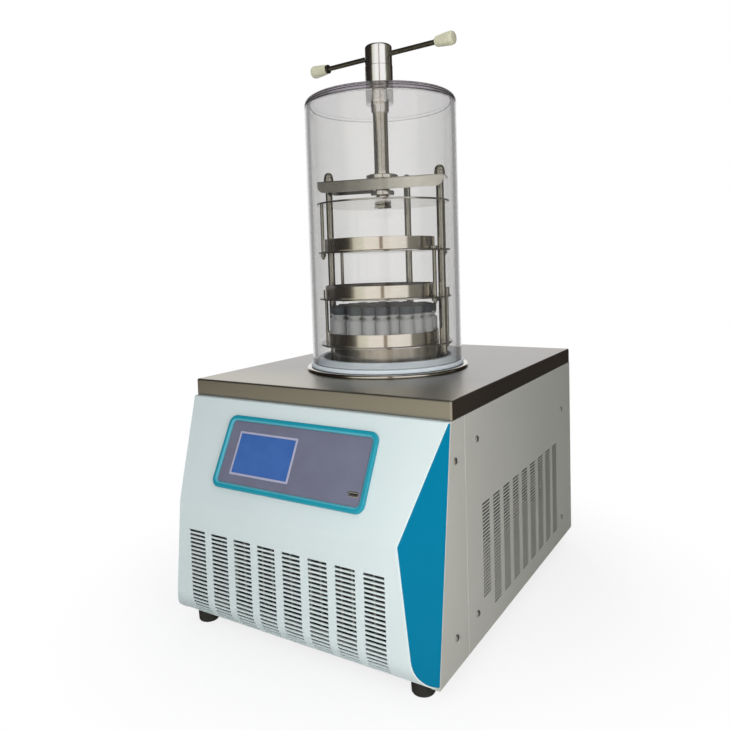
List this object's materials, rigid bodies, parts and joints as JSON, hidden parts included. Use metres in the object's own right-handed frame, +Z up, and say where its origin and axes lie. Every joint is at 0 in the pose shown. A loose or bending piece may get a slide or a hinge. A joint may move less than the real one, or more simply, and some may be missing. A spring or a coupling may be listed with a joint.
{
  "type": "freeze dryer",
  "caption": "Bench freeze dryer: refrigerated cabinet with a sloping touch display, clear vacuum chamber on its deck, and a shelf rack pressed down by a handle on the chamber's lid.",
  "frame": {"origin": "the middle of the bounding box, on the surface that the four feet stand on", "axes": "+Z up, -Y towards the front with the display, +X to the right seen from the front"},
  "size_m": [0.45, 0.649, 0.9152],
  "materials": {
    "white_paint": "satin",
    "grey_paint": "satin",
    "teal_paint": "satin",
    "deck_steel": "satin",
    "polished_steel": "polished",
    "dark_steel": "satin",
    "black_rubber": "matte",
    "black_plastic": "matte",
    "teal_plastic": "gloss",
    "grey_film": "matte",
    "blue_screen": "gloss",
    "clear_acrylic": "gloss",
    "white_silicone": "matte",
    "ivory_plastic": "satin",
    "dark_foam": "matte",
    "copper": "satin",
    "bare_aluminium": "satin",
    "green_board": "matte",
    "vial_glass": "gloss"
  },
  "bodies": {
    "cabinet": {"front_panel": "white_paint", "deck": "deck_steel", "base_pan": "grey_paint", "cheek_left": "teal_paint", "cheek_right": "teal_paint", "corner_post_left": "grey_paint", "corner_post_right": "grey_paint", "side_panel_left": "grey_paint", "side_panel_right": "grey_paint", "rear_panel": "grey_paint", "foot_front_left": "black_rubber", "foot_front_right": "black_rubber", "foot_rear_left": "black_rubber", "foot_rear_right": "black_rubber", "display_frame": "teal_plastic", "display_panel": "grey_film", "touch_screen": "blue_screen", "data_port": "black_plastic", "control_board": "green_board", "cold_trap": "deck_steel", "evaporator_coil": "copper", "trap_insulation": "dark_foam", "vacuum_pipe": "deck_steel", "chamber_flange": "polished_steel", "chamber_gasket": "white_silicone", "chamber_tube": "clear_acrylic", "chamber_lid": "clear_acrylic", "gland_body": "polished_steel", "rack_base": "polished_steel", "column_left": "polished_steel", "column_right": "polished_steel", "column_rear": "polished_steel", "rack_beam": "polished_steel", "spindle_guide": "polished_steel", "shelf_3": "polished_steel", "tray_3": "polished_steel", "vials": "vial_glass", "condenser": "bare_aluminium", "fan_shroud": "black_plastic", "fan_motor": "dark_steel", "compressor": "black_plastic", "vent_valve": "bare_aluminium", "drain_valve": "bare_aluminium", "power_inlet": "black_plastic", "switch_housing": "black_plastic"},
    "handle": {"handle_head": "polished_steel", "tommy_bar": "dark_steel", "grip_left": "ivory_plastic", "grip_right": "ivory_plastic"},
    "press": {"press_spindle": "polished_steel", "press_plate_nut": "polished_steel", "press_plate": "polished_steel", "shelf_1": "polished_steel", "shelf_2": "polished_steel", "tray_1": "polished_steel", "tray_2": "polished_steel"},
    "fan": {"fan_rotor": "bare_aluminium"},
    "vent_control": {"vent_knob": "black_plastic"},
    "drain_control": {"drain_lever": "black_plastic"},
    "power_control": {"switch_rocker": "black_plastic"}
  },
  "joints": [
    {"name": "handle_turn", "type": "hinge", "parent": "cabinet", "child": "handle", "pos_m": [0, -0.0145, 0.889], "axis": [0, 0, -1], "range_deg": [0, 1440]},
    {"name": "press_down", "type": "slide", "parent": "cabinet", "child": "press", "axis": [0, 0, -1], "range_m": [0, 0.01]},
    {"name": "fan_spin", "type": "hinge", "parent": "cabinet", "child": "fan", "pos_m": [0, -0.2362, 0.1173], "axis": [0, 1, 0], "continuous": true},
    {"name": "vent_knob_turn", "type": "hinge", "parent": "cabinet", "child": "vent_control", "pos_m": [-0.15, 0.3185, 0.266], "axis": [0, 1, 0], "range_deg": [0, 720]},
    {"name": "drain_lever_turn", "type": "hinge", "parent": "cabinet", "child": "drain_control", "pos_m": [-0.15, 0.3073, 0.095], "axis": [0, 0, 1], "range_deg": [-90, 0]},
    {"name": "power_rocker", "type": "hinge", "parent": "cabinet", "child": "power_control", "pos_m": [0.15, 0.2975, 0.136], "axis": [0, 0, 1], "range_deg": [-16, 0]}
  ],
  "couplings": [
    {"joint": "press_down", "follows": "handle_turn", "m_per_rad": 0.0003978}
  ]
}
